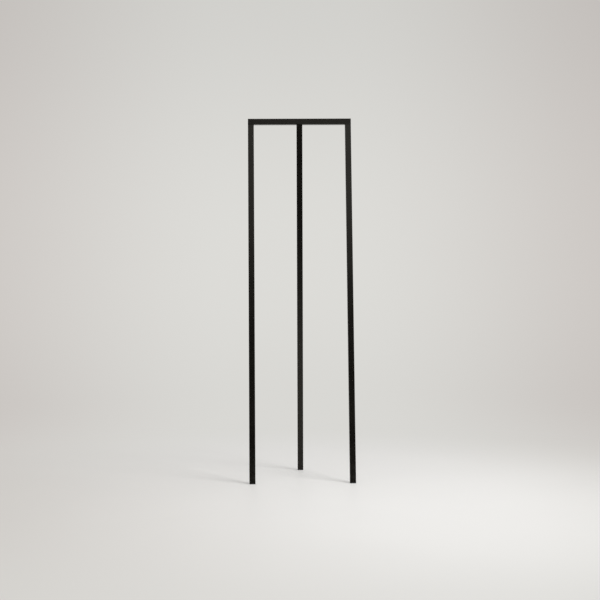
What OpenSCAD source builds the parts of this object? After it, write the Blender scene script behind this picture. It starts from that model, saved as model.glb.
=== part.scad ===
// Three-legged clothes stand of square steel tube: one short crossbar, two front legs, one rear leg.
// Millimetres, Z up, the front faces -Y. The origin is on the floor under the middle of the footprint.

/* [Overall size] */
// Height from the floor to the top of the crossbar
stand_h = 1540; // [1200:5:1900]
// Width over the ends of the crossbar
stand_w = 442; // [300:1:700]
// Depth over the feet, front to back
stand_d = 440; // [300:1:700]
// How far the crossbar sits in front of the middle of the footprint
bar_forward = 24; // [0:1:60]

/* [Square tube] */
// Outside width of the square tube
tube = 25; // [22:1:40]
// Wall thickness of the square tube
wall = 1.5; // [1:0.1:2.5]
// Outside corner radius of the square tube
corner_r = 1.8; // [0.8:0.1:3]
// Thickness of the plates welded into the ends of the crossbar
end_plate_t = 2; // [1:0.5:5]
// Bevel round the outer face of each end plate, where the weld is ground smooth
end_bevel = 0.8; // [0.2:0.1:0.9]
// Diameter of the vent holes between the crossbar and each spigot
vent_d = 8; // [4:1:10]

/* [Leg joints] */
// Length of the spigot that reaches down into each leg
spigot_len = 80; // [50:5:150]
// Wall thickness of the spigot
spigot_wall = 2; // [1.5:0.1:3]
// Play on each side between spigot and leg before the screw is tightened
spigot_play = 0.5; // [0.3:0.1:1]
// Distance down the leg from the crossbar to the lock screw
screw_drop = 45; // [25:1:80]
// Thread diameter of the lock screw
screw_d = 6; // [4:1:8]
// Length of the lock screw below its head
screw_len = 14; // [12:1:20]
// Diameter of the lock screw head
head_d = 10.5; // [8:0.5:14]
// Height of the lock screw head
head_h = 3.3; // [2:0.1:5]
// Size of the hexagon key that fits the lock screw
key_size = 4; // [2.5:0.5:6]
// Depth of the hexagon socket in the lock screw head
key_depth = 2; // [1:0.1:2.5]
// Clearance round the lock screw in the leg and in the washer
screw_clearance = 0.4; // [0.2:0.1:1]
// Clearance round the lock screw in the spigot and the nut
thread_clearance = 0.05; // [0.02:0.01:0.2]
// Outside diameter of the washer
washer_d = 12; // [10:0.5:18]
// Thickness of the washer
washer_t = 1.6; // [0.8:0.1:2]
// Width of the square nut
nut_w = 10; // [8:0.5:13]
// Thickness of the square nut
nut_t = 5; // [3:0.5:7]

/* [Foot plugs] */
// Height of the plug head between the floor and the end of the leg
foot_h = 4; // [2:0.5:10]
// How far the plug reaches up inside the leg
plug_depth = 28; // [15:1:60]
// Thickness of each fin on the plug
fin_t = 1.5; // [1:0.1:3]
// Number of fins on the plug
fin_count = 4; // [2:1:6]
// Clearance between the fins and the inside of the leg
plug_fit = 0.05; // [0.02:0.01:0.3]
// How far the fins stand out from the body of the plug
fin_out = 2; // [1:0.1:3]
// Wall thickness of the hollow plug body
plug_wall = 2; // [1.5:0.1:3]
// Corner radius of the plug body
plug_r = 1; // [0.3:0.1:2]

/* [View] */
// Which piece to draw

/* [Hidden] */
$fn = 48;
steel = [0.13, 0.13, 0.125];
screw_black = [0.10, 0.10, 0.10];
zinc = [0.62, 0.62, 0.60];
plastic = [0.07, 0.07, 0.07];

bar_y = -bar_forward;
joint_z = stand_h - tube;
half = tube / 2;
leg_x = stand_w / 2 - half;
bore = tube - 2 * wall;
// Smallest corner radius inside a tube
least_r = 0.25;
bore_r = max(corner_r - wall, least_r);
// How far a cutting shape runs past the faces that it cuts
overcut = 1;
// How far two shapes of one piece reach into each other
lap = 0.5;

// How far a foot stands out from the crossbar when its outer edge is at the given reach
slim = pow(half / joint_z, 2);
function foot_run(reach) =
    (reach - sqrt(reach * reach - (1 - slim) * (reach * reach - half * half))) / (1 - slim);
front_run = foot_run(stand_d / 2 - bar_forward);
rear_run = foot_run(stand_d / 2 + bar_forward);
front_lean = -atan(front_run / joint_z);
rear_lean = atan(rear_run / joint_z);
leg_len = stand_h + stand_d / 2;

spigot = bore - 2 * spigot_play;
// The tightened screw pulls the back wall of the leg against the back of the spigot
spigot_back = bore / 2;
nut_back = spigot_back - spigot_wall;

// Shapes

module round_square(side, radius) {
    square([side, side - 2 * radius], center = true);
    square([side - 2 * radius, side], center = true);
    for (x = [-1, 1], y = [-1, 1])
        translate([x * (side / 2 - radius), y * (side / 2 - radius)]) circle(r = radius);
}

module tube_section() {
    difference() {
        round_square(tube, corner_r);
        round_square(bore, bore_r);
    }
}

// Places its children at the top of a leg, with local -Z running down the leg
module at_leg(x, lean) {
    translate([x, bar_y, joint_z]) rotate([lean, 0, 0]) children();
}

// Keeps what lies between two heights
module between(low, high) {
    intersection() {
        children();
        translate([-stand_w, -stand_d, low]) cube([2 * stand_w, 2 * stand_d, high - low]);
    }
}

// A square rod that runs the whole way down the leg and past both ends
module leg_rod(x, lean) {
    at_leg(x, lean) translate([0, 0, -leg_len]) linear_extrude(leg_len + tube) children();
}

// A cylinder out through the back of the leg at the height of the lock screw
module screw_line(x, lean, from, to, diameter) {
    at_leg(x, lean) translate([0, from, -screw_drop]) rotate([-90, 0, 0])
        cylinder(d = diameter, h = to - from);
}

// Crossbar

module bar_between(x0, x1) {
    translate([x0, bar_y, stand_h - half]) rotate([0, 90, 0]) linear_extrude(x1 - x0) children();
}

module crossbar() {
    color(steel) difference() {
        bar_between(-stand_w / 2 + end_plate_t, stand_w / 2 - end_plate_t) tube_section();
        for (x = [-leg_x, 0, leg_x])
            translate([x, bar_y, joint_z - overcut]) cylinder(d = vent_d, h = wall + 2 * overcut);
    }
}

// A slab through the plate, as thick as the plate and bevelled along two edges of its outer face
module bevelled_slab() {
    rim = half - end_bevel;
    flat = end_plate_t - end_bevel;
    linear_extrude(tube, center = true)
        polygon([[0, -half], [flat, -half], [end_plate_t, -rim],
                 [end_plate_t, rim], [flat, half], [0, half]]);
}

// The plate at the right-hand end
module end_plate() {
    color(steel) intersection() {
        bar_between(stand_w / 2 - end_plate_t, stand_w / 2) round_square(tube, corner_r);
        translate([stand_w / 2 - end_plate_t, bar_y, stand_h - half]) bevelled_slab();
        translate([stand_w / 2 - end_plate_t, bar_y, stand_h - half]) rotate([90, 0, 0]) bevelled_slab();
    }
}

module crossbar_end_plate_left() { mirror([1, 0, 0]) end_plate(); }
module crossbar_end_plate_right() { end_plate(); }

// Legs

module leg(x, lean) {
    color(steel) difference() {
        between(foot_h, joint_z) leg_rod(x, lean) tube_section();
        screw_line(x, lean, 0, tube, screw_d + 2 * screw_clearance);
    }
}

module front_leg_left() { leg(-leg_x, front_lean); }
module front_leg_right() { leg(leg_x, front_lean); }
module rear_leg() { leg(0, rear_lean); }

// Spigots welded under the crossbar

module leg_spigot(x, lean) {
    color(steel) difference() {
        between(0, joint_z)
            at_leg(x, lean) translate([0, spigot_back - spigot / 2, -spigot_len])
                linear_extrude(spigot_len + tube) difference() {
                    round_square(spigot, corner_r);
                    round_square(spigot - 2 * spigot_wall, bore_r);
                }
        screw_line(x, lean, 0, tube, screw_d + 2 * thread_clearance);
    }
}

module leg_spigot_left() { leg_spigot(-leg_x, front_lean); }
module leg_spigot_right() { leg_spigot(leg_x, front_lean); }
module leg_spigot_rear() { leg_spigot(0, rear_lean); }

// Nuts welded inside the spigots

module spigot_nut(x, lean) {
    color(zinc) difference() {
        at_leg(x, lean) translate([-nut_w / 2, nut_back - nut_t, -screw_drop - nut_w / 2])
            cube([nut_w, nut_t, nut_w]);
        screw_line(x, lean, nut_back - nut_t - overcut, nut_back + overcut, screw_d + 2 * thread_clearance);
    }
}

module spigot_nut_left() { spigot_nut(-leg_x, front_lean); }
module spigot_nut_right() { spigot_nut(leg_x, front_lean); }
module spigot_nut_rear() { spigot_nut(0, rear_lean); }

// Lock screws and washers at the back of the legs

head_base = half + washer_t;
dome_r = (pow(head_d / 2, 2) + head_h * head_h) / (2 * head_h);

module lock_screw(x, lean) {
    color(screw_black) at_leg(x, lean) translate([0, head_base, -screw_drop]) rotate([-90, 0, 0]) {
        difference() {
            intersection() {
                cylinder(d = head_d, h = head_h);
                translate([0, 0, head_h - dome_r]) sphere(r = dome_r);
            }
            translate([0, 0, head_h - key_depth])
                cylinder(d = key_size / cos(30), h = key_depth + overcut, $fn = 6);
        }
        translate([0, 0, -screw_len]) cylinder(d = screw_d, h = screw_len + lap);
    }
}

module lock_screw_left() { lock_screw(-leg_x, front_lean); }
module lock_screw_right() { lock_screw(leg_x, front_lean); }
module lock_screw_rear() { lock_screw(0, rear_lean); }

module lock_washer(x, lean) {
    color(screw_black) difference() {
        screw_line(x, lean, half, head_base, washer_d);
        screw_line(x, lean, half - overcut, head_base + overcut, screw_d + 2 * screw_clearance);
    }
}

module lock_washer_left() { lock_washer(-leg_x, front_lean); }
module lock_washer_right() { lock_washer(leg_x, front_lean); }
module lock_washer_rear() { lock_washer(0, rear_lean); }

// Foot plugs

fin_w = bore - 2 * plug_fit;
core_w = fin_w - 2 * fin_out;
fin_pitch = (plug_depth - fin_t) / fin_count;

// Moves its children to where the middle of the leg meets the top of the plug head
module at_foot(x, lean) {
    at_leg(x, lean) translate([0, 0, -(joint_z - foot_h) / cos(lean)]) children();
}

module foot_plug(x, lean) {
    color(plastic) {
        between(0, foot_h) leg_rod(x, lean) round_square(tube, corner_r);
        difference() {
            between(foot_h - lap, stand_h) at_foot(x, lean) {
                translate([0, 0, -half]) linear_extrude(plug_depth + half)
                    round_square(core_w, plug_r);
                for (i = [1 : fin_count])
                    translate([0, 0, i * fin_pitch]) linear_extrude(fin_t)
                        round_square(fin_w, bore_r);
            }
            at_foot(x, lean) translate([0, 0, half]) linear_extrude(plug_depth)
                square(core_w - 2 * plug_wall, center = true);
        }
    }
}

module foot_plug_left() { foot_plug(-leg_x, front_lean); }
module foot_plug_right() { foot_plug(leg_x, front_lean); }
module foot_plug_rear() { foot_plug(0, rear_lean); }

// Assembly

crossbar();
crossbar_end_plate_left();
crossbar_end_plate_right();
front_leg_left();
front_leg_right();
rear_leg();
leg_spigot_left();
leg_spigot_right();
leg_spigot_rear();
spigot_nut_left();
spigot_nut_right();
spigot_nut_rear();
lock_screw_left();
lock_screw_right();
lock_screw_rear();
lock_washer_left();
lock_washer_right();
lock_washer_rear();
foot_plug_left();
foot_plug_right();
foot_plug_rear();
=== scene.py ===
import math

import bmesh
import bpy
import numpy as np
from mathutils import Matrix, Vector


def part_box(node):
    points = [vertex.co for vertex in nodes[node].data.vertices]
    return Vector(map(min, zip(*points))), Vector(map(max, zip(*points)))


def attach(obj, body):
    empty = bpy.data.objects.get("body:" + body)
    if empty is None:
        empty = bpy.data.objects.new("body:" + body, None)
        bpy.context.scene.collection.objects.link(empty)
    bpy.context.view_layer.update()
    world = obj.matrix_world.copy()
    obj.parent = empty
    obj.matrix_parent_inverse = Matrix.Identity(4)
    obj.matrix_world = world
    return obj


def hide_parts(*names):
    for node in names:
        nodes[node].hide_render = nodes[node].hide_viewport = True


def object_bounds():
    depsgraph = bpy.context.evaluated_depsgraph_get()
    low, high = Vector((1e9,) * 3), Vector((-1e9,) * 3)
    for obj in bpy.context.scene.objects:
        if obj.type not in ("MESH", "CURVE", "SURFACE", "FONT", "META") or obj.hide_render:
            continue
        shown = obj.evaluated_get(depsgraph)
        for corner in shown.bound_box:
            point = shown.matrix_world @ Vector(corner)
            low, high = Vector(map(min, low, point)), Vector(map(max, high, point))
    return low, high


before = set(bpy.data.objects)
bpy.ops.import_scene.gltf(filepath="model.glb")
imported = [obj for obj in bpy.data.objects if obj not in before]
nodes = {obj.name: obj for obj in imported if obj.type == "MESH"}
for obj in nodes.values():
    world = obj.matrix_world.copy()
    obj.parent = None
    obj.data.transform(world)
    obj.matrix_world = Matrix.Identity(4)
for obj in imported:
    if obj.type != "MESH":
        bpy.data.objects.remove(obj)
cadLow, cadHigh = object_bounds()
print("frame loaded, pieces:", len(nodes))

# The sizes the new pieces share with the frame; the wall and the corner radius are the tube's own
barLow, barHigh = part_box("crossbar")
stand = {
    "height": cadHigh[2],
    "width": cadHigh[0] - cadLow[0],
    "depth": cadHigh[1] - cadLow[1],
    "barForward": -(barLow[1] + barHigh[1]) / 2,
    "tube": barHigh[2] - barLow[2],
    "wall": 0.0015,
    "cornerRadius": 0.0018,
}
halfTube = stand["tube"] / 2
barY = -stand["barForward"]
barZ = stand["height"] - halfTube
jointZ = stand["height"] - stand["tube"]
legX = stand["width"] / 2 - halfTube


def footRun(reach):
    # how far a leg runs out between the bar and the floor, when its foot's outer edge is at reach:
    # run + halfTube * sqrt(1 + (run / jointZ)^2) = reach, solved for run
    slim = (halfTube / jointZ) ** 2
    inner = math.sqrt(reach * reach - (1 - slim) * (reach * reach - halfTube * halfTube))
    return (reach - inner) / (1 - slim)


frontLean = -math.atan(footRun(stand["depth"] / 2 - stand["barForward"]) / jointZ)
rearLean = math.atan(footRun(stand["depth"] / 2 + stand["barForward"]) / jointZ)
legs = {
    "left": {"x": -legX, "lean": frontLean, "node": "front_leg_left"},
    "right": {"x": legX, "lean": frontLean, "node": "front_leg_right"},
    "rear": {"x": 0.0, "lean": rearLean, "node": "rear_leg"},
}


# Meshes

mergeDistance = 1e-7


def gridMesh(name, points, closeU=False, capStart=False, capEnd=False):
    # points[i, j] is row i, column j, and every row is a closed ring; quads join (i, j), (i, j+1),
    # (i+1, j+1) and (i+1, j); closeU joins the last row to the first, and a cap fills an end row
    rows, cols = points.shape[:2]
    verts = points.reshape(-1, 3)
    i = np.arange(rows if closeU else rows - 1)[:, None]
    j = np.arange(cols)[None, :]
    a = i * cols + j
    b = i * cols + (j + 1) % cols
    c = ((i + 1) % rows) * cols + (j + 1) % cols
    d = ((i + 1) % rows) * cols + j
    faces = np.stack([a, b, c, d], -1).reshape(-1, 4)
    sizes = [4] * len(faces)
    loops = [faces.reshape(-1)]
    if capStart:
        loops.append(np.arange(cols)[::-1])
        sizes.append(cols)
    if capEnd:
        loops.append((rows - 1) * cols + np.arange(cols))
        sizes.append(cols)
    loops = np.concatenate(loops)
    sizes = np.array(sizes)
    starts = np.concatenate([[0], np.cumsum(sizes)[:-1]])
    mesh = bpy.data.meshes.new(name)
    mesh.vertices.add(len(verts))
    mesh.vertices.foreach_set("co", verts.astype(np.float32).ravel())
    mesh.loops.add(len(loops))
    mesh.loops.foreach_set("vertex_index", loops.astype(np.int32))
    mesh.polygons.add(len(sizes))
    mesh.polygons.foreach_set("loop_start", starts.astype(np.int32))
    mesh.polygons.foreach_set("loop_total", sizes.astype(np.int32))
    mesh.update(calc_edges=True)
    # a row that shrinks to a point is joined there, so poles are closed
    whole = bmesh.new()
    whole.from_mesh(mesh)
    bmesh.ops.remove_doubles(whole, verts=whole.verts, dist=mergeDistance)
    whole.to_mesh(mesh)
    whole.free()
    mesh.validate()
    piece = bpy.data.objects.new(name, mesh)
    bpy.context.scene.collection.objects.link(piece)
    return piece


def smooth(piece, degrees):
    # smooth shading, sharp across edges steeper than the angle
    piece.data.polygons.foreach_set("use_smooth", np.ones(len(piece.data.polygons), bool))
    piece.data.set_sharp_from_angle(angle=math.radians(degrees))


def roundSquare(half, radius, steps=6):
    # corner arcs: (+-(half - r) + r cos t, +-(half - r) + r sin t), run counter-clockwise
    turn = np.repeat(np.arange(4) * math.pi / 2, steps + 1)
    t = turn + np.tile(np.linspace(0, math.pi / 2, steps + 1), 4)
    corner = math.sqrt(2) * (half - radius)
    mid = turn + math.pi / 4
    x = corner * np.cos(mid) + radius * np.cos(t)
    y = corner * np.sin(mid) + radius * np.sin(t)
    return np.stack([x, y], -1)


tubeRing = roundSquare(1.0, stand["cornerRadius"] / halfTube)  # the tube's outline where half its width is 1


def filletPath(corners, steps=4):
    # profile corners (along, out, fillet radius): a curve (1-s)^2 a + 2 s (1-s) corner + s^2 b cuts each
    # corner, from a to b on its two sides, a radius away or half of the side if that is less
    points = np.array([corner[:2] for corner in corners], float)
    s = np.linspace(0, 1, steps + 1)[:, None]
    line = [points[:1]]
    for k in range(1, len(points) - 1):
        corner, radius = points[k], corners[k][2]
        cuts = []
        for other in (points[k - 1], points[k + 1]):
            side = np.linalg.norm(other - corner)
            cuts.append(corner + (other - corner) / side * min(radius, side / 2))
        curve = (1 - s) ** 2 * cuts[0] + 2 * s * (1 - s) * corner + s * s * cuts[1]
        line.append(curve if radius > 0 else corner[None])
    line.append(points[-1:])
    return np.concatenate(line)


def legFrame(leg):
    # 4x4 that moves to the top of the leg and turns about X by its lean
    return np.array(Matrix.Translation((leg["x"], barY, jointZ)) @ Matrix.Rotation(leg["lean"], 4, "X"))


def carry(matrix, points):
    # p' = R p + t for an array of points
    return points @ matrix[:3, :3].T + matrix[:3, 3]


# Shader maths


class Wire:
    # a socket in a node tree; arithmetic on wires in Python adds Math nodes
    def __init__(self, tree, socket=None):
        self.tree, self.socket = tree, socket

    def node(self, kind, settings=None, inputs=None, out=0):
        # settings are set first, then inputs, which are values or wires by name or number
        made = self.tree.nodes.new("ShaderNode" + kind)
        for key, value in (settings or {}).items():
            setattr(made, key, value)
        for key, value in (inputs or {}).items():
            if isinstance(value, Wire):
                self.tree.links.new(value.socket, made.inputs[key])
            else:
                made.inputs[key].default_value = value
        return Wire(self.tree, made.outputs[out])

    def do(self, operation, *others, clamp=False):
        values = dict(enumerate([self, *others]))
        return self.node("Math", {"operation": operation, "use_clamp": clamp}, values)

    def __add__(self, other):
        return self.do("ADD", other)

    __radd__ = __add__

    def __sub__(self, other):
        return self.do("SUBTRACT", other)

    def __rsub__(self, other):
        return self.node("Math", {"operation": "SUBTRACT"}, {0: other, 1: self})

    def __mul__(self, other):
        return self.do("MULTIPLY", other)

    __rmul__ = __mul__

    def __pow__(self, other):
        return self.do("POWER", other)

    def __abs__(self):
        return self.do("ABSOLUTE")

    def clamp(self):
        return self.do("ADD", 0.0, clamp=True)

    def sway(self, amount):
        # a noise of 0 to 1 becomes -amount / 2 to amount / 2
        return (self - 0.5) * amount

    def ramp(self, low, high):
        # smooth step from 0 at low to 1 at high
        return self.node(
            "MapRange",
            {"interpolation_type": "SMOOTHSTEP", "clamp": True},
            {"Value": self, "From Min": low, "From Max": high, "To Min": 0.0, "To Max": 1.0},
        )

    def blend(self, a, b):
        # colour a where this is 0, b where it is 1; numbers, because the Mix node's sockets share names
        return self.node("Mix", {"data_type": "RGBA"}, {0: self, 6: tone(a), 7: tone(b)}, out=2)

    def axis(self, letter):
        return self.node("SeparateXYZ", inputs={0: self}, out=letter)


def tone(value):
    # a wire as it is, a colour with its alpha added
    return value if isinstance(value, Wire) else (*value, 1.0)


def noise(place, scale, detail, rough):
    # scale is in cells per metre
    sockets = {"Vector": place, "Scale": scale, "Detail": detail, "Roughness": rough}
    return place.node("TexNoise", None, sockets)


def bump(height, strength):
    return height.node("Bump", None, {"Height": height, "Strength": strength, "Distance": 1.0})


def newFinish(name):
    made = bpy.data.materials.new(name)
    made.use_nodes = True
    tree = made.node_tree
    tree.nodes.clear()
    output = tree.nodes.new("ShaderNodeOutputMaterial")
    return made, Wire(tree), output


def finishWith(start, output, inputs):
    # one Principled BSDF with the given sockets, sent to the output
    skin = start.node("BsdfPrincipled", None, inputs)
    start.tree.links.new(skin.socket, output.inputs["Surface"])


def standPlace(start):
    # Object coordinates, which are the frame's, because every piece's object sits at the origin
    return start.node("TexCoord", out="Object")


def tubePlace(start, centre, lean):
    # a tube's own coordinates, moved to its centre and turned upright: q = R(-lean) (p - centre)
    spot = start.node("Mapping", None, {"Vector": standPlace(start), "Location": [-c for c in centre]})
    return start.node("Mapping", None, {"Vector": spot, "Rotation": (-lean, 0, 0)})


# Powder coat on the tubes

coat = {
    "deep": (0.0030, 0.0026, 0.0021),
    "light": (0.0049, 0.0044, 0.0034),
    "shade": (0.3, 0.7),  # values of the cloud noise between which deep passes into light
    "roughness": 0.275,
    "roughnessSpread": 0.08,
    "specular": 0.34,
    "specularTint": (1.0, 0.96, 0.85),
    "cloud": (7.0, 3.0, 0.5),  # noises: cells per metre, detail, roughness
    "patch": (46.0, 4.0, 0.6),
    "peel": (700.0, 1.5, 0.4),  # the orange peel
    "grain": (2600.0, 1.0, 0.5),
    "peelDepth": 0.00003,
    "grainDepth": 0.00001,
    "bumpStrength": 0.8,
    "worn": (0.020, 0.019, 0.018),
    "wornFrom": 0.0022,  # edges are worn from where u + v is this much less than the tube's width
    "wornFull": 0.00066,  # and fully from here
    "wornPatch": (0.42, 0.66),
    "wornAmount": 0.55,
    "wornPolish": 0.10,
    "dust": (0.16, 0.155, 0.145),
    "dustSlope": (0.2, 0.95),  # dust begins to lie, and lies fully, where the normal's Z is this
    "dustHeight": (0.0, 0.16),  # heights above the floor over which it thins out
    "dustPatch": (0.30, 0.75),
    "dustAmount": 0.05,
    "dustRoughness": 2.0,
    "footDust": 0.8,  # dust near the floor, against that on top
    "streakStretch": (260, 18, 18),  # streaks per metre along the bar, and across it both ways
    "streak": (1.0, 3.0, 0.6),
    "streakPatch": (0.5, 0.72),
    "streakPolish": 0.10,
    "seamWidth": 0.0012,  # to each side of the weld
    "seamDepth": 0.00004,
    "seamPatch": (0.25, 0.65),
}


def powderCoat(name, centre, lean, along, footDust=0.0, streakPolish=0.0, seamAt=None):
    # along is the letter of the tube's axis in its own upright frame
    made, start, output = newFinish(name)
    place = tubePlace(start, centre, lean)
    cloud, patch, peel, grain = (noise(place, *coat[kind]) for kind in ("cloud", "patch", "peel", "grain"))
    # edge mask: u + v grows past the flat towards the rounded corner
    u, v = (abs(place.axis(letter)) for letter in "XYZ".replace(along, ""))
    corner = (u + v).ramp(stand["tube"] - coat["wornFrom"], stand["tube"] - coat["wornFull"])
    edge = (corner * patch.ramp(*coat["wornPatch"]) * coat["wornAmount"]).clamp()
    # dust lies on what faces up, thinly and in patches, and gathers near the floor
    up = start.node("NewGeometry", out="Normal").axis("Z").ramp(*coat["dustSlope"])
    floorward = 1 - standPlace(start).axis("Z").ramp(*coat["dustHeight"])
    dust = ((up + floorward * footDust) * patch.ramp(*coat["dustPatch"]) * coat["dustAmount"]).clamp()
    base = cloud.ramp(*coat["shade"]).blend(coat["deep"], coat["light"])
    base = edge.blend(base, coat["worn"])
    base = dust.blend(base, coat["dust"])
    rough = coat["roughness"] + cloud.sway(coat["roughnessSpread"]) + patch.sway(coat["roughnessSpread"])
    rough = rough + dust * coat["dustRoughness"] - edge * coat["wornPolish"]
    if streakPolish:
        # hangers and cloth polish the top of the bar in short streaks across it
        streak = place.node("Mapping", None, {"Vector": place, "Scale": coat["streakStretch"]})
        streak = noise(streak, *coat["streak"]).ramp(*coat["streakPatch"]) * up
        rough = rough - streak * streakPolish
    height = peel * coat["peelDepth"] + grain * coat["grainDepth"]
    if seamAt:
        # the ground weld round each end plate shows as a shallow uneven line under the coat
        line = 1 - abs(abs(place.axis(along)) - seamAt).ramp(0.0, coat["seamWidth"])
        height = height - line * patch.ramp(*coat["seamPatch"]) * coat["seamDepth"]
    skin = {
        "Base Color": base,
        "Roughness": rough.clamp(),
        "Specular IOR Level": coat["specular"],
        "Specular Tint": tone(coat["specularTint"]),
        "Normal": bump(height, coat["bumpStrength"]),
    }
    finishWith(start, output, skin)
    return made


endPlate = {"thick": 0.002, "rim": 0.0008, "rimSteps": 6, "sharpAngle": 50}
plateX = legX + halfTube - endPlate["thick"]  # where the bar's tube ends and the plate begins


def endPlateSurface(name, turn):
    # the tube's outline swept along X: half-width h(s) at depth s, curved over at the rim;
    # turn is 1 at the right end of the bar and -1 at the left
    thick, rim = endPlate["thick"], endPlate["rim"]
    path = [(0.0, halfTube, 0), (thick, halfTube, rim), (thick, halfTube - 2 * rim, 0)]
    line = filletPath(path, endPlate["rimSteps"])
    s, h = line[:, :1], line[:, 1:]
    x = turn * (plateX + s * np.ones(len(tubeRing)))
    y = barY + turn * h * tubeRing[:, 0]
    z = barZ + h * tubeRing[:, 1]
    piece = gridMesh(name, np.stack([x, y, z], -1), capStart=True, capEnd=True)
    smooth(piece, endPlate["sharpAngle"])
    return piece


def dress(node, finish):
    target = nodes[node]
    target.data.materials.clear()
    target.data.materials.append(finish)


barCentre = (0.0, barY, barZ)
barCoat = powderCoat("crossbarCoat", barCentre, 0.0, "X", streakPolish=coat["streakPolish"], seamAt=plateX)
dress("crossbar", barCoat)
for side, turn in (("left", -1), ("right", 1)):
    piece = endPlateSurface("endPlate_" + side, turn)
    piece.data.materials.append(barCoat)
    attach(piece, "root")
    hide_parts("crossbar_end_plate_" + side)
for side, leg in legs.items():
    top = (leg["x"], barY, jointZ)
    legCoat = powderCoat("legCoat_" + side, top, leg["lean"], "Z", footDust=coat["footDust"])
    dress(leg["node"], legCoat)
    dress("leg_spigot_" + side, legCoat)
print("tubes coated")


# Zinc nuts

zinc = {
    "dark": (0.40, 0.40, 0.39),
    "light": (0.62, 0.62, 0.60),
    "shade": (0.35, 0.7),
    "roughness": 0.34,
    "roughnessSpread": 0.25,
    "bloom": (240.0, 4.0, 0.6),
    "bloomDepth": 0.00003,
    "bumpStrength": 0.6,
}


def zincFinish():
    made, start, output = newFinish("zincPlate")
    bloom = noise(standPlace(start), *zinc["bloom"])
    base = bloom.ramp(*zinc["shade"]).blend(zinc["dark"], zinc["light"])
    rough = zinc["roughness"] + bloom.sway(zinc["roughnessSpread"])
    normal = bump(bloom * zinc["bloomDepth"], zinc["bumpStrength"])
    finishWith(start, output, {"Base Color": base, "Roughness": rough, "Metallic": 1.0, "Normal": normal})
    return made


nutCoat = zincFinish()
for side in legs:
    dress("spigot_nut_" + side, nutCoat)
print("nuts plated")


# Lock screws and washers

oxide = {
    "deep": (0.012, 0.0115, 0.011),
    "light": (0.030, 0.029, 0.028),
    "shade": (0.3, 0.7),
    "roughness": 0.36,
    "roughnessSpread": 0.2,
    "metallic": 0.85,
    "bloom": (420.0, 3.0, 0.6),
    "grain": (3000.0, 2.0, 0.5),
    "grainDepth": 0.00001,
    "bumpStrength": 0.6,
}


def oxideFinish():
    made, start, output = newFinish("blackOxide")
    place = standPlace(start)
    bloom, grain = (noise(place, *oxide[kind]) for kind in ("bloom", "grain"))
    skin = {
        "Base Color": bloom.ramp(*oxide["shade"]).blend(oxide["deep"], oxide["light"]),
        "Roughness": oxide["roughness"] + bloom.sway(oxide["roughnessSpread"]),
        "Metallic": oxide["metallic"],
        "Normal": bump(grain * oxide["grainDepth"], oxide["bumpStrength"]),
    }
    finishWith(start, output, skin)
    return made


screw = {
    "drop": 0.045,  # from the joint down the leg to the screw's axis
    "length": 0.014,
    "thread": 0.006,
    "threadPlay": 0.00005,  # the crests stay this far inside the thread's own radius
    "threadDepth": 0.00055,
    "threadFade": 0.0016,  # the thread runs in and out over this length
    "threadRows": 140,
    "pitch": 0.001,
    "neck": 0.0006,  # left without thread at the tip and under the head
    "tipInset": 0.0009,  # the flat end of the tip is this much smaller all round
    "head": 0.0105,
    "headHeight": 0.0033,
    "headInset": 0.0002,  # the seat of the head is this much smaller all round
    "domeFrom": 0.12,  # share of the head's height at which the dome begins
    "domeSunk": 0.00003,  # how far the dome stays under the head's height
    "domeRows": 14,
    "key": 0.004,
    "keyDepth": 0.002,
    "mouth": 0.0002,  # the socket's round mouth is this much wider than the hexagon's corners
    "mouthDepth": 0.0003,
    "lipOut": 0.00005,  # a fine lip round the mouth
    "lipUp": 0.00006,
    "drillDepth": 0.0006,  # the drilled cone under the hexagon
    "drillShare": 0.6,  # width of the cone half-way down, against the hexagon's
    "columns": 48,
    "sharpAngle": 35,
}
washer = {"size": 0.012, "bore": 0.0068, "thick": 0.0016, "edge": 0.0002, "columns": 64, "sharpAngle": 50}


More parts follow.
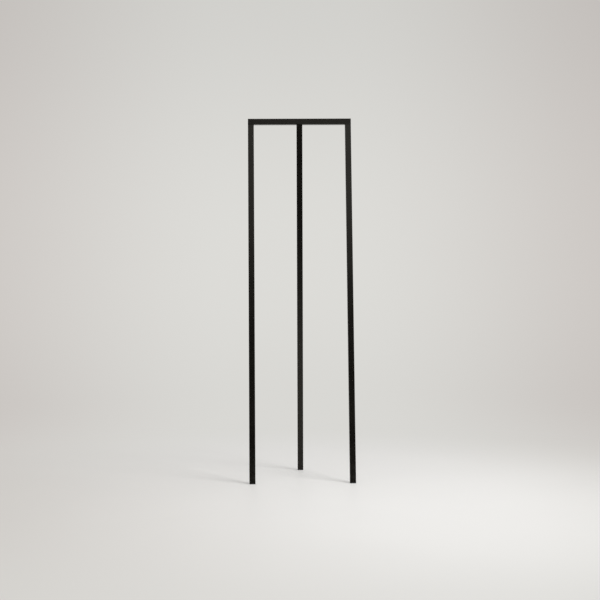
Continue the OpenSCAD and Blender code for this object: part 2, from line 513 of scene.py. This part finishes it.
def screwSurface(name, leg):
    # radius(z, t) about the screw's axis: a helix r - d * (1 + cos(2 pi z / pitch - t)) / 2 on the thread,
    # a spherical dome on the head, and key / 2 / cos(t folded to 60 degrees) in the hexagon socket
    t = np.linspace(0, 2 * math.pi, screw["columns"], endpoint=False)[None, :]
    fold = (t + math.pi / 6) % (math.pi / 3) - math.pi / 6
    hexagon = screw["key"] / 2 / np.cos(fold)
    radius, length = screw["thread"] / 2, screw["length"]
    crest = radius - screw["threadPlay"]
    z = np.linspace(-length + screw["neck"], -screw["neck"], screw["threadRows"])[:, None]
    fade = np.clip((z + length) / screw["threadFade"], 0, 1) * np.clip(-z / screw["threadFade"], 0, 1)
    thread = crest - screw["threadDepth"] * fade * (1 + np.cos(2 * math.pi * z / screw["pitch"] - t)) / 2
    headR, headH = screw["head"] / 2, screw["headHeight"]
    ball = (headR**2 + headH**2) / (2 * headH)
    domeZ = headH * np.linspace(screw["domeFrom"], 1, screw["domeRows"]) - screw["domeSunk"]
    domeR = np.sqrt(np.clip(ball**2 - (domeZ - headH + ball) ** 2, 0, None))
    mouth = screw["key"] / 2 / math.cos(math.pi / 6) + screw["mouth"]
    keep = domeR > mouth + 2 * screw["lipOut"]
    top = domeZ[keep][-1]
    floor = top - screw["keyDepth"]
    # rows (height, radius) from the tip over the thread and the head to the bottom of the socket
    rows = [(-length, 0.0), (-length, radius - screw["tipInset"])]
    rows += list(zip(z[:, 0], thread))
    rows += [(0.0, crest), (0.0, headR - screw["headInset"])]
    rows += list(zip(domeZ[keep], domeR[keep]))
    rows += [(top + screw["lipUp"], mouth + screw["lipOut"]), (top, mouth)]
    rows += [(top - screw["mouthDepth"], hexagon), (floor, hexagon)]
    rows += [(floor - screw["drillDepth"] / 2, hexagon * screw["drillShare"])]
    rows += [(floor - screw["drillDepth"], 0.0)]
    along = np.array([height for height, reach in rows])[:, None] * np.ones_like(t)
    out = np.concatenate([np.broadcast_to(reach, t.shape) for height, reach in rows])
    # local axes of the leg: the screw points out along +Y
    seat = halfTube + washer["thick"]
    points = np.stack([out * np.cos(t), along + seat, -out * np.sin(t) - screw["drop"]], -1)
    piece = gridMesh(name, carry(legFrame(leg), points))
    smooth(piece, screw["sharpAngle"])
    return piece


def washerSurface(name, leg):
    # a rectangle with rounded corners, as points (radius, height), turned about the screw's axis
    t = np.linspace(0, 2 * math.pi, washer["columns"], endpoint=False)[None, :]
    inner, outer, thick, edge = washer["bore"] / 2, washer["size"] / 2, washer["thick"], washer["edge"]
    lower = [(inner, edge), (inner + edge, 0), (outer - 2 * edge, 0), (outer - edge / 2, edge / 2)]
    lower += [(outer, 2 * edge)]
    loop = np.array(lower + [(r, thick - h) for r, h in reversed(lower)])
    r, h = loop[:, :1], loop[:, 1:]
    points = np.stack([r * np.cos(t), h * np.ones_like(t) + halfTube, -r * np.sin(t) - screw["drop"]], -1)
    piece = gridMesh(name, carry(legFrame(leg), points), closeU=True)
    smooth(piece, washer["sharpAngle"])
    return piece


screwCoat = oxideFinish()
for side, leg in legs.items():
    for kind, build in (("screw", screwSurface), ("washer", washerSurface)):
        piece = build("lock" + kind.title() + "_" + side, leg)
        piece.data.materials.append(screwCoat)
        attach(piece, "root")
        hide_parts("lock_" + kind + "_" + side)
print("screws and washers made")


# Foot plugs

plastic = {
    "deep": (0.0055, 0.0054, 0.0052),
    "light": (0.011, 0.0108, 0.0104),
    "shade": (0.3, 0.7),
    "roughness": 0.55,
    "roughnessSpread": 0.15,
    "specular": 0.5,
    "cloud": (90.0, 3.0, 0.5),
    "grain": (1900.0, 2.0, 0.6),
    "grainDepth": 0.00003,
    "bumpStrength": 0.7,
    "dust": (0.20, 0.195, 0.185),
    "dustHeight": (0.0, 0.003),
    "dustPatch": (0.35, 0.7),
    "dustAmount": 0.12,
}


def plasticFinish():
    made, start, output = newFinish("plugPlastic")
    place = standPlace(start)
    cloud, grain = (noise(place, *plastic[kind]) for kind in ("cloud", "grain"))
    floorward = 1 - place.axis("Z").ramp(*plastic["dustHeight"])
    dust = (floorward * cloud.ramp(*plastic["dustPatch"]) * plastic["dustAmount"]).clamp()
    base = cloud.ramp(*plastic["shade"]).blend(plastic["deep"], plastic["light"])
    skin = {
        "Base Color": dust.blend(base, plastic["dust"]),
        "Roughness": plastic["roughness"] + cloud.sway(plastic["roughnessSpread"]) + dust,
        "Specular IOR Level": plastic["specular"],
        "Normal": bump(grain * plastic["grainDepth"], plastic["bumpStrength"]),
    }
    finishWith(start, output, skin)
    return made


plug = {
    "head": 0.004,  # the sole under the tube
    "headEdge": 0.0001,
    "soleEdge": 0.0007,
    "depth": 0.028,  # the part inside the tube
    "wall": 0.002,
    "fit": 0.00005,  # play between the fins and the tube
    "fins": 4,
    "finThick": 0.0015,
    "finOut": 0.002,  # how far the fins stand out
    "finFoot": (0.0003, 0.0001),  # slope and edge of a fin's lower side
    "finTop": (0.0001, 0.0002),  # the same of its upper side
    "rimOuterEdge": 0.0002,
    "rimInnerEdge": 0.0003,
    "hollowEdge": 0.0005,
    "sharpAngle": 40,
}


def plugSurface(name, leg):
    # level slices of the tube's outline: half-width h(s) at height z(s), carried along the lean,
    # y = barY + (jointZ - z) tan(lean), and stretched by 1 / cos(lean) from front to back
    head, top = plug["head"], plug["head"] + plug["depth"]
    body = halfTube - stand["wall"] - plug["fit"]
    core = body - plug["finOut"]
    pitch = (plug["depth"] - plug["finThick"]) / plug["fins"]
    (footSlope, footEdge), (topSlope, topEdge) = plug["finFoot"], plug["finTop"]
    path = [(0.0, 0.0, 0), (0.0, halfTube, plug["soleEdge"])]
    path += [(head, halfTube, plug["headEdge"]), (head, core, 0)]
    for k in range(1, plug["fins"] + 1):
        low = head + k * pitch
        high = low + plug["finThick"]
        path += [(low, core, 0), (low + footSlope, body, footEdge), (high - topSlope, body, topEdge)]
        path += [(high, core, 0)]
    # the last fin ends at the top, where the rim of the hollow is
    bore, floor = core - plug["wall"], head + halfTube
    path[-1] = (top, core, plug["rimOuterEdge"])
    path += [(top, bore, plug["rimInnerEdge"]), (floor, bore, plug["hollowEdge"]), (floor, 0.0, 0)]
    line = filletPath(path)
    z, h = line[:, :1] * np.ones(len(tubeRing)), line[:, 1:]
    x = h * tubeRing[:, 0] + leg["x"]
    y = h * tubeRing[:, 1] / math.cos(leg["lean"]) + barY + (jointZ - z) * math.tan(leg["lean"])
    piece = gridMesh(name, np.stack([x, y, z], -1))
    smooth(piece, plug["sharpAngle"])
    return piece


plugCoat = plasticFinish()
for side, leg in legs.items():
    piece = plugSurface("footPlug_" + side, leg)
    piece.data.materials.append(plugCoat)
    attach(piece, "root")
    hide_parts("foot_plug_" + side)
print("foot plugs made")


# Studio sweep

studio = {
    "floorRadius": 5.2,
    "coveRadius": 2.2,
    "top": 6.5,
    "hub": 0.001,  # radius of the small cap in the middle of the floor
    "floorRows": 29,
    "coveRows": 32,
    "wallRows": 12,
    "columns": 96,
    "sharpAngle": 60,
    "paper": (0.814, 0.808, 0.794),
    "cloud": (1.6, 3.0, 0.5),
    "cloudTone": 0.988,  # the darker patches' share of the paper's tone
    "shade": (0.3, 0.7),
    "roughness": 0.45,
    "roughnessSpread": 0.08,
    "specular": 0.25,
    "paintedLightX": 0.337,  # where the floor's painted pool of light is lightest, and how much that moves with Y
    "paintedLightTurn": -0.287,
    "paintedShadeFall": (0.12, 4.37),  # painted shade: distances to the side between which the floor turns towards the warm dark below
    # the painted warm shade of the floor far from the pool of light
    "paintedShadeFar": (0.177, 0.088, 0.0),
    "paintedShadeDrop": 0.70,  # how far the painted shade gets on the way there
    "backdrop": (0.719, 0.712, 0.684),  # the backdrop's tone behind the stand, and the painted shade it turns to at the sides
    "side": (0.597, 0.562, 0.537),
    "sideMiddle": 0.046,
    "sideShadeFall": (0.487, 4.0),  # distances from the middle between which the painted shade comes in
    "sideSpread": (1.72, 7.376),  # in front of the first Y a step to the side counts for sideNear more
    "sideNear": 0.527,
    "heightMiddle": 1.284,  # painted shade: above and below this height the backdrop turns darker
    "heightShadeFall": (0.18, 3.0),
    "heightShadeDrop": 0.112,
    "darkFront": (-2.8, -1.2),  # the dark end of the studio, in front of the stand, as the coat mirrors it
    "darkTone": 0.08,
    "litRadius": (0.2, 2.12),  # between these the lamplit floor passes into the plain backdrop
    "litFront": 0.67,  # what a metre in front of the stand counts for in that
    "litShare": 0.65,  # how much of the floor near the stand is lamplight, the rest is its plain tone
    "litMirrored": (1.2, 2.3),  # what the coat mirrors is lamplit up to here, and plain from there
}


def sweepSurface():
    # a disc, a quarter circle (r0 + R sin a, R - R cos a) and a wall, turned about Z
    hub, r0, bend, top = (studio[key] for key in ("hub", "floorRadius", "coveRadius", "top"))
    floorRows, coveRows, wallRows = (studio[key] for key in ("floorRows", "coveRows", "wallRows"))
    a = np.linspace(0, math.pi / 2, coveRows)
    floor = np.linspace(hub, r0, floorRows + 1)[:-1]
    wall = np.linspace(bend, top, wallRows + 1)[1:]
    r = np.concatenate([floor, r0 + bend * np.sin(a), np.full(wallRows, r0 + bend)])
    z = np.concatenate([np.zeros(floorRows), bend - bend * np.cos(a), wall])
    t = np.linspace(0, 2 * math.pi, studio["columns"], endpoint=False)
    points = np.stack([np.outer(r, np.cos(t)), np.outer(r, np.sin(t)), np.outer(z, np.ones(len(t)))], -1)
    piece = gridMesh("studioSweep", points[:, ::-1], capStart=True)
    smooth(piece, studio["sharpAngle"])
    return piece


def paperFinish():
    made, start, output = newFinish("studioPaper")
    place = standPlace(start)
    x, y, z = (place.axis(letter) for letter in "XYZ")
    # painted light and shade: the lamplit floor's colour is lightest along a slanting line and turns to a
    # painted warm dark far from it
    cloud = noise(place, *studio["cloud"])
    dull = [c * studio["cloudTone"] for c in studio["paper"]]
    base = cloud.ramp(*studio["shade"]).blend(dull, studio["paper"])
    paintedShadeAway = abs(x - y * studio["paintedLightTurn"] - studio["paintedLightX"]).ramp(*studio["paintedShadeFall"])
    base = (paintedShadeAway * studio["paintedShadeDrop"]).blend(base, studio["paintedShadeFar"])
    paper = {
        "Base Color": base,
        "Roughness": studio["roughness"] + cloud.sway(studio["roughnessSpread"]),
        "Specular IOR Level": studio["specular"],
    }
    lit = start.node("BsdfPrincipled", None, paper)
    # painted shade: the backdrop turns warmer and darker to the sides, and darker upwards and downwards
    spread = 1 + (1 - y.ramp(*studio["sideSpread"])) * studio["sideNear"]
    aside = abs(x - studio["sideMiddle"]) * spread
    wall = aside.ramp(*studio["sideShadeFall"]).blend(studio["backdrop"], studio["side"])
    light = 1 - abs(z - studio["heightMiddle"]).ramp(*studio["heightShadeFall"]) * studio["heightShadeDrop"]
    camera, glossy, through = (
        start.node("LightPath", out="Is " + ray + " Ray") for ray in ("Camera", "Glossy", "Transmission")
    )
    front = 1 - y.ramp(*studio["darkFront"])
    light = light * (1 - glossy * front * (1 - studio["darkTone"]))
    # the painted shade, and the darker front that the coat mirrors, darken the backdrop's tone
    wall = light.blend((0, 0, 0), wall)
    # near the stand the plain part has the floor's colour, further off the backdrop's; distances in front
    # of the stand are shortened, so that the lamplit floor reaches further forward
    ahead = y.do("MAXIMUM", 0.0) + y.do("MINIMUM", 0.0) * studio["litFront"]
    far = ((x * x + ahead * ahead) ** 0.5).ramp(*studio["litRadius"])
    plain = start.node("Emission", None, {"Color": far.blend(base, wall)})
    # the share of the plain part, as the camera sees the sweep and as the coat mirrors it
    radius = (x * x + y * y) ** 0.5
    share = (camera + through).clamp() * (1 - (1 - far) * studio["litShare"])
    share = share + glossy * radius.ramp(*studio["litMirrored"])
    both = start.node("MixShader", None, {0: share, 1: lit, 2: plain})
    start.tree.links.new(both.socket, output.inputs["Surface"])
    return made


sweep = sweepSurface()
sweep.data.materials.append(paperFinish())
print("studio sweep made")


# Lamps

# a lamp that isn't mirrored lights the stand but burns no white streak into its gloss
lamps = {
    "keyBox": {
        "at": (2.75, -3.0, 2.54),
        "to": (0.0, 0.0, 0.2),
        "size": (2.0, 1.1),
        "watts": 168.0,
        "mirrored": False,
    },
    "topBox": {
        "at": (0.35, 0.0, 5.4),
        "to": (0.1, 0.0, 0.0),
        "size": (3.0, 3.0),
        "watts": 145.0,
        "mirrored": True,
    },
    "frontPanel": {
        "at": (0.72, -3.5, 2.93),
        "to": (0.72, 0.0, 2.18),
        "size": (2.6, 1.9),
        "watts": 15.8,
        "mirrored": True,
    },
}
worldLight = {"colour": (1.0, 0.99, 0.97), "strength": 0.10}


def addLamp(name, plan):
    data = bpy.data.lights.new(name, "AREA")
    data.shape = "RECTANGLE"
    data.size, data.size_y = plan["size"]
    data.energy = plan["watts"]
    lamp = bpy.data.objects.new(name, data)
    lamp.location = plan["at"]
    aim = Vector(plan["to"]) - Vector(plan["at"])
    lamp.rotation_euler = aim.to_track_quat("-Z", "Y").to_euler()
    lamp.visible_camera = False
    lamp.visible_glossy = plan["mirrored"]
    bpy.context.scene.collection.objects.link(lamp)


for name, plan in lamps.items():
    addLamp(name, plan)

world = bpy.data.worlds.new("studio")
bpy.context.scene.world = world
world.use_nodes = True
sky = world.node_tree.nodes["Background"]
sky.inputs["Color"].default_value = (*worldLight["colour"], 1)
sky.inputs["Strength"].default_value = worldLight["strength"]
print("lamps set")


# Camera

view = {
    "at": (-0.1220, -5.2380, 0.7470),
    "pan": 1.316,  # degrees to the right of +Y
    "tilt": 0.1565,  # degrees up
    "roll": -0.380,  # degrees about the line of sight
    "focal": 1212.7,  # pixels, in an image of the next width
    "imageWidth": 600,
    "sensor": 36.0,  # millimetres
}


def addCamera():
    # axes from pan and tilt, then turned about the line of sight by the roll
    pan, tilt, roll = (math.radians(view[k]) for k in ("pan", "tilt", "roll"))
    ahead = Vector((math.sin(pan) * math.cos(tilt), math.cos(pan) * math.cos(tilt), math.sin(tilt)))
    right = Vector((math.cos(pan), -math.sin(pan), 0))
    up = right.cross(ahead)
    right, up = right * math.cos(roll) + up * math.sin(roll), up * math.cos(roll) - right * math.sin(roll)
    data = bpy.data.cameras.new("camera")
    data.sensor_width = view["sensor"]
    data.lens = view["focal"] / view["imageWidth"] * view["sensor"]
    camera = bpy.data.objects.new("camera", data)
    turn = Matrix((right, up, -ahead)).transposed().to_4x4()
    camera.matrix_world = Matrix.Translation(view["at"]) @ turn
    bpy.context.scene.collection.objects.link(camera)
    bpy.context.scene.camera = camera


addCamera()
bpy.context.scene.view_settings.view_transform = "Standard"
print("camera set")
